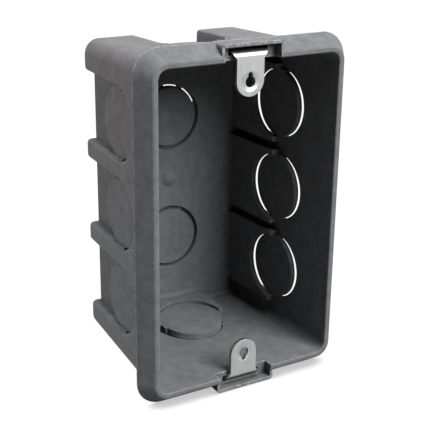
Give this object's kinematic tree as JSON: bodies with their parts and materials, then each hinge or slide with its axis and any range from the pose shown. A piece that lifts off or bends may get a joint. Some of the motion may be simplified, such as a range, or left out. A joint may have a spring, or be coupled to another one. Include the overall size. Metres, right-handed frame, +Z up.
{
  "type": "flush electrical box",
  "caption": "Rectangular plastic wiring box for casting or building in, with a bevelled rim, stepped ribbed walls, round knockouts and two bent steel screw lugs.",
  "frame": {"origin": "centre of the mouth, in the plane of the lip", "axes": "+Z up along the long side, +Y from the mouth to the back, +X to the right as one looks in"},
  "size_m": [0.069, 0.0517, 0.1062],
  "materials": {
    "plastic": "fine satin mould",
    "lug_steel": "zinc plated"
  },
  "bodies": {
    "root": {"box_body": "plastic", "upper_lug": "lug_steel", "lower_lug": "lug_steel"}
  },
  "joints": []
}
